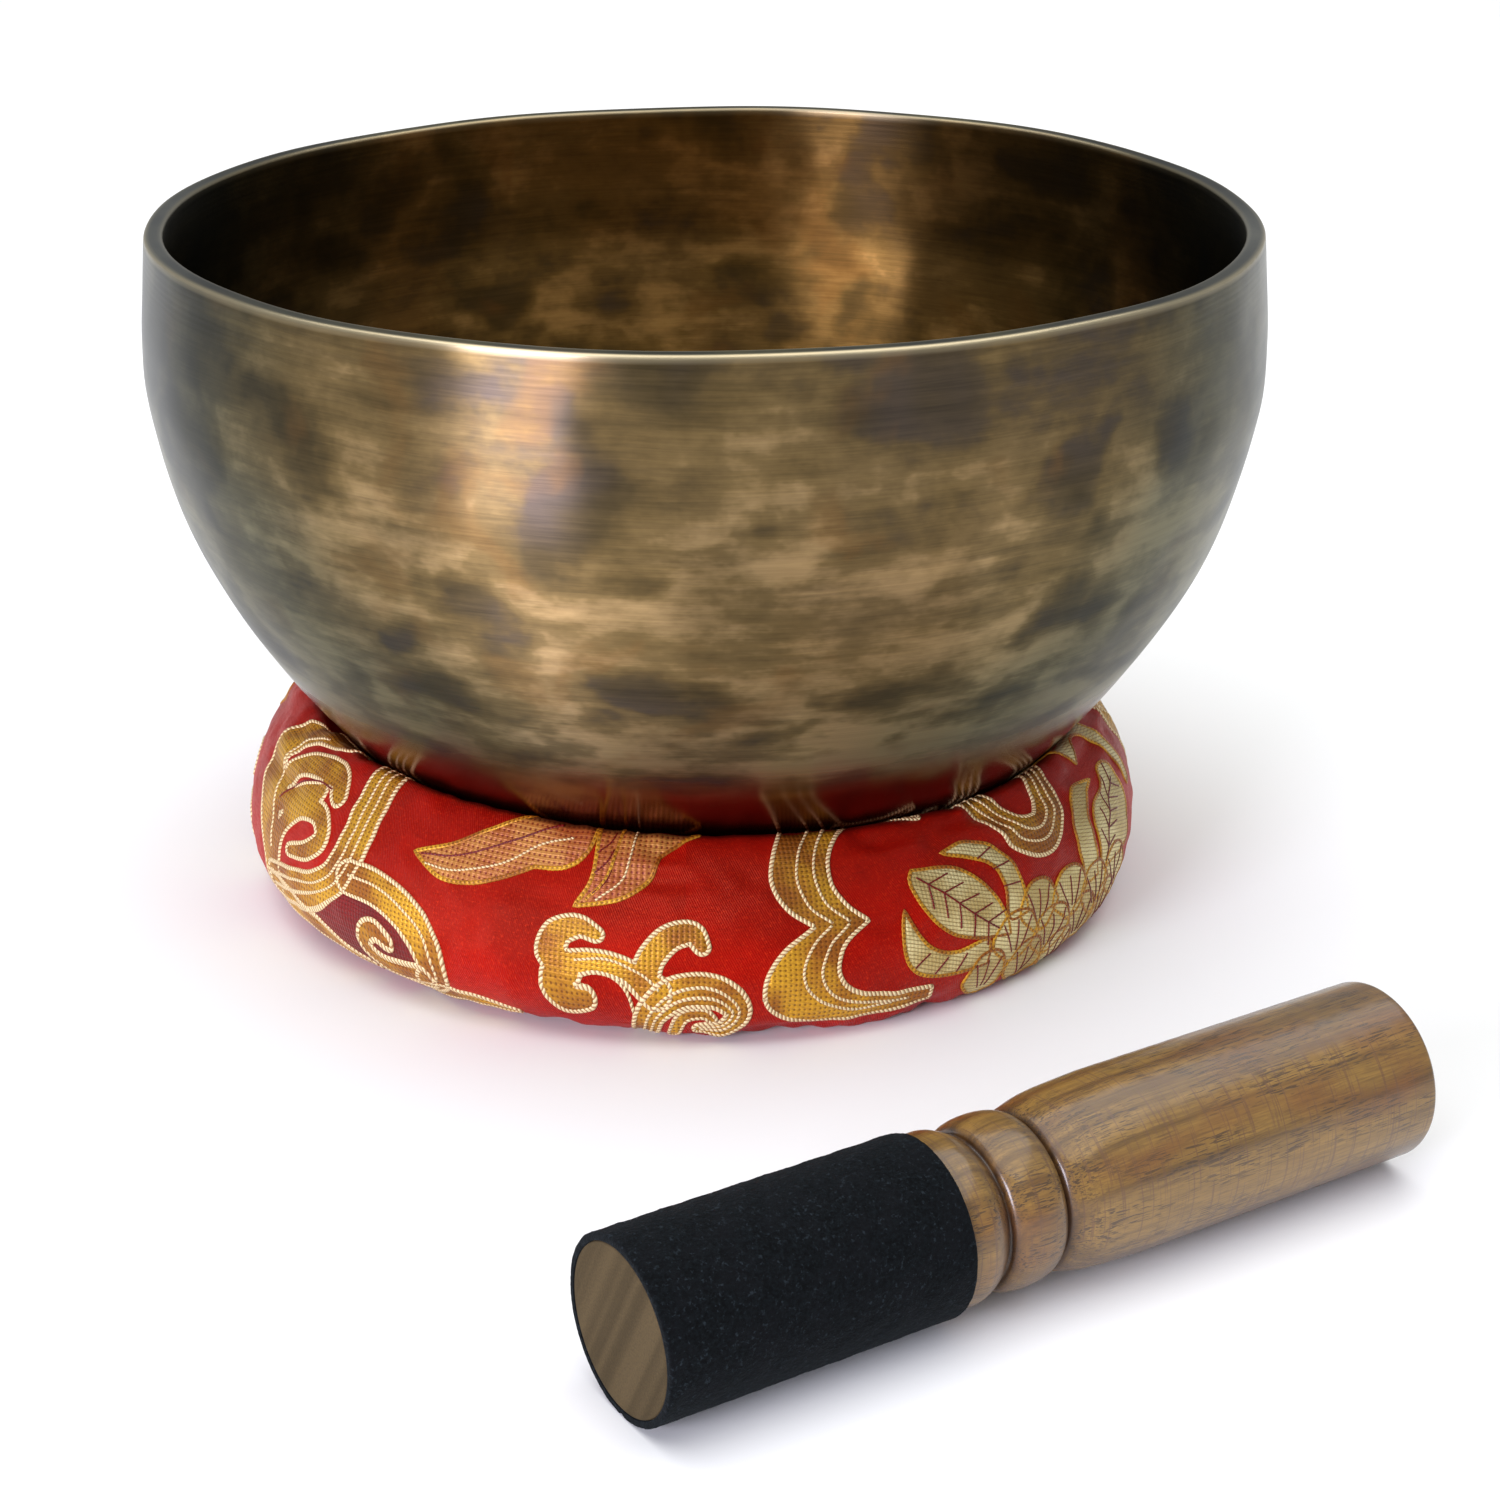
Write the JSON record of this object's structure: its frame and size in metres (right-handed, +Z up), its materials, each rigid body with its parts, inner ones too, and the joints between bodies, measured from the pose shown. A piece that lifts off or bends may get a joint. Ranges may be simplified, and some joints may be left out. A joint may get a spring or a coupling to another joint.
{
  "type": "singing bowl set",
  "caption": "Hand-hammered bronze singing bowl resting on a brocade ring cushion, with a turned wooden mallet wrapped in suede lying in front.",
  "frame": {"origin": "on the table, on the axis that the bowl and the cushion share", "axes": "+Z up; +X to the right and +Y away, seen from the side where the mallet lies"},
  "size_m": [0.2352, 0.3293, 0.138],
  "materials": {
    "bronze": "hammered and brushed, dark mottled patina with golden patches and a polished rim",
    "brocade": "red satin brocade with gold motifs",
    "filling": "cotton wadding",
    "thread": "red sewing thread",
    "lacquered_wood": "brown lacquer over open grain",
    "glue": "dried contact glue",
    "suede": "near-black suede"
  },
  "bodies": {
    "cushion": {"cushion_cover": "brocade", "cushion_filling": "filling", "hole_seam_stitches": "thread", "end_joint_stitches": "thread"},
    "bowl": {"bowl": "bronze"},
    "mallet": {"mallet_wood": "lacquered_wood", "suede_glue": "glue", "suede_wrap": "suede"}
  },
  "joints": [
    {"name": "bowl_lift", "type": "slide", "parent": "cushion", "child": "bowl", "axis": [0, 0, 1], "range_m": [0, 0.12]},
    {"name": "mallet_lift", "type": "slide", "parent": "cushion", "child": "mallet", "axis": [0, 0, 1], "range_m": [0, 0.16]}
  ]
}
